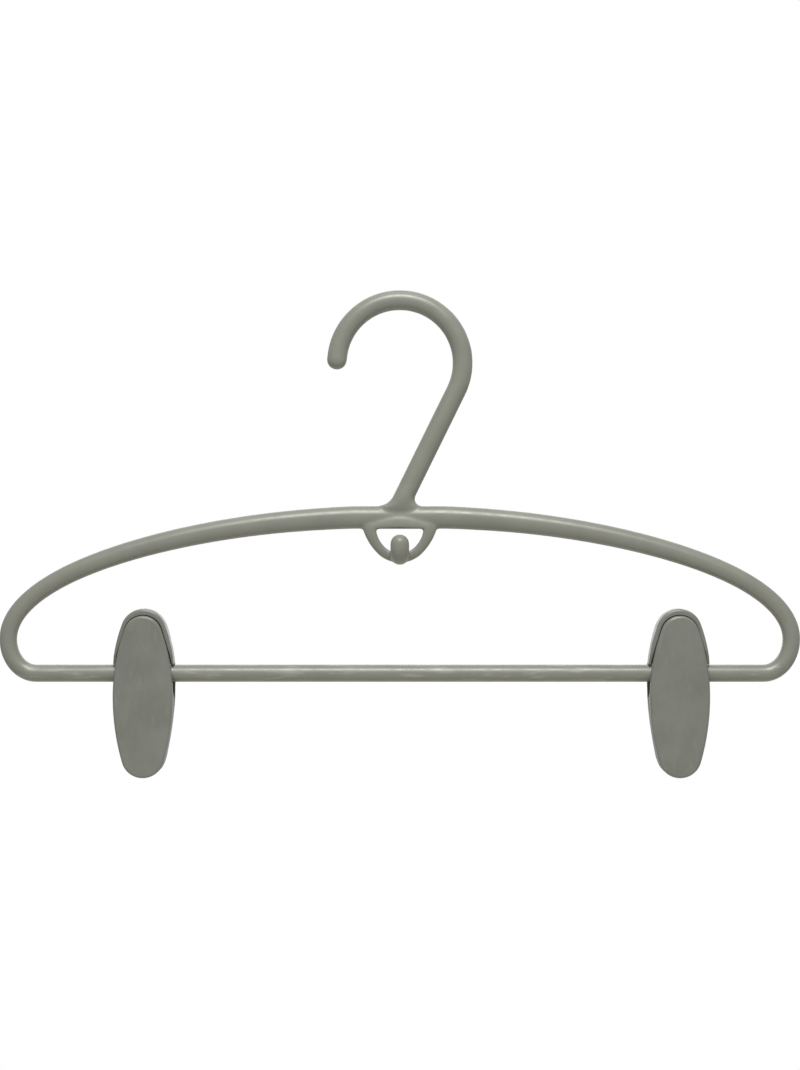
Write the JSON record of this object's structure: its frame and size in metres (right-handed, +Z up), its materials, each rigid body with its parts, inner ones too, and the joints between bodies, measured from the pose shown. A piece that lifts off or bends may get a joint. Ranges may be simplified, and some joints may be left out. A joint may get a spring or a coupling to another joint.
{
  "type": "skirt hanger",
  "caption": "Grey plastic skirt hanger with a rounded arch, a straight bar, a loop with a peg under the neck and sliding spring clips.",
  "frame": {"origin": "hook seat: the highest point of the inside of the hook's bend, where it rests on a rail", "axes": "+X along the bar to the viewer's right, +Y to the back, +Z up"},
  "size_m": [0.4, 0.0267, 0.2431],
  "materials": {
    "frame_plastic": "satin moulded plastic",
    "clip_plastic": "satin moulded plastic",
    "spring_steel": "bare spring steel strip",
    "pad_rubber": "soft matt rubber"
  },
  "bodies": {
    "frame": {"hanger_frame": "frame_plastic"},
    "left_spring": {"left_clip_spring": "spring_steel"},
    "left_back_half": {"left_clip_back_jaw": "clip_plastic", "left_clip_back_pad": "pad_rubber"},
    "left_front_half": {"left_clip_front_jaw": "clip_plastic", "left_clip_front_pad": "pad_rubber"},
    "right_spring": {"right_clip_spring": "spring_steel"},
    "right_back_half": {"right_clip_back_jaw": "clip_plastic", "right_clip_back_pad": "pad_rubber"},
    "right_front_half": {"right_clip_front_jaw": "clip_plastic", "right_clip_front_pad": "pad_rubber"}
  },
  "joints": [
    {"name": "left_clip_slide", "type": "slide", "parent": "frame", "child": "left_spring", "axis": [1, 0, 0], "range_m": [-0.036, 0.11]},
    {"name": "left_clip_swing", "type": "hinge", "parent": "left_spring", "child": "left_back_half", "pos_m": [-0.1277, 0, -0.1816], "axis": [1, 0, 0], "range_deg": [-120, 120], "deforming": ["left_clip_spring"]},
    {"name": "left_clip_open", "type": "hinge", "parent": "left_back_half", "child": "left_front_half", "pos_m": [-0.1277, 0, -0.1816], "axis": [-1, 0, 0], "range_deg": [0, 20], "stiffness_Nm_per_rad": 0.4, "springref_deg": -28.65, "deforming": ["left_clip_spring"]},
    {"name": "right_clip_slide", "type": "slide", "parent": "frame", "child": "right_spring", "axis": [1, 0, 0], "range_m": [-0.122, 0.025]},
    {"name": "right_clip_swing", "type": "hinge", "parent": "right_spring", "child": "right_back_half", "pos_m": [0.1392, 0, -0.1816], "axis": [1, 0, 0], "range_deg": [-120, 120], "deforming": ["right_clip_spring"]},
    {"name": "right_clip_open", "type": "hinge", "parent": "right_back_half", "child": "right_front_half", "pos_m": [0.1392, 0, -0.1816], "axis": [-1, 0, 0], "range_deg": [0, 20], "stiffness_Nm_per_rad": 0.4, "springref_deg": -28.65, "deforming": ["right_clip_spring"]}
  ]
}
